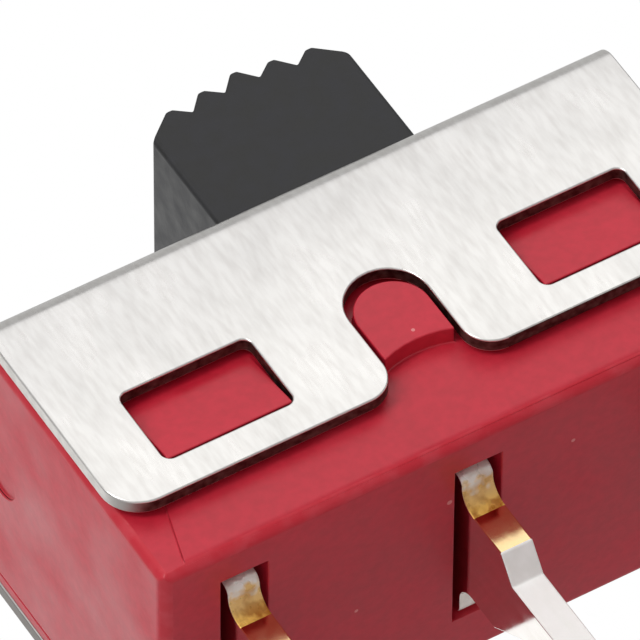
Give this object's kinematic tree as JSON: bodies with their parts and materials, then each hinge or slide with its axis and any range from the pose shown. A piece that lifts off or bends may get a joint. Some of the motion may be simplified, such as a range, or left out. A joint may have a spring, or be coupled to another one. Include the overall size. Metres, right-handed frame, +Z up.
{
  "type": "slide switch",
  "caption": "Miniature slide switch for a circuit board: red moulded body, folded steel frame, black ribbed knob that slides between two ends, and flat terminals below.",
  "frame": {"origin": "centre of the moulded body's bottom face, which stands on the board", "axes": "+X along the slider's travel, towards the end where the slider rests; +Y across the body; +Z up through the knob; the terminals point down -Z"},
  "size_m": [0.0126, 0.0068, 0.0149],
  "materials": {
    "body_red": "moulded, slightly glossy",
    "frame_steel": "bright rolled sheet, grain along the height of the sides",
    "slider_black": "moulded, fine matte",
    "plunger_white": "moulded, smooth",
    "spring_wire": "drawn wire",
    "terminal_metal": "gold-coloured strip, pins tinned",
    "rocker_metal": "silver-plated strip",
    "contact_silver": "polished silver"
  },
  "bodies": {
    "switch_body": {"housing": "body_red", "frame": "frame_steel", "terminal_left": "terminal_metal", "terminal_common": "terminal_metal", "terminal_right": "terminal_metal", "fixed_contact_left": "contact_silver", "fixed_contact_right": "contact_silver"},
    "slider_body": {"slider": "slider_black", "spring": "spring_wire"},
    "plunger_body": {"plunger": "plunger_white"},
    "rocker_body": {"rocker": "rocker_metal", "rocker_button_left": "contact_silver", "rocker_button_right": "contact_silver"}
  },
  "joints": [
    {"name": "slider_travel", "type": "slide", "parent": "switch_body", "child": "slider_body", "axis": [-1, 0, 0], "range_m": [0, 0.0024]},
    {"name": "rocker_tilt", "type": "hinge", "parent": "switch_body", "child": "rocker_body", "pos_m": [0, 0, 0.00215], "axis": [0, -1, 0], "range_deg": [0, 10]},
    {"name": "plunger_lift", "type": "slide", "parent": "slider_body", "child": "plunger_body", "axis": [0, 0, 1], "range_m": [0, 0.00025], "stiffness_N_per_m": 500, "springref_m": -0.001, "deforming": ["spring"]}
  ],
  "couplings": [
    {"joint": "rocker_tilt", "follows": "slider_travel", "rad_per_m": 72.7}
  ]
}
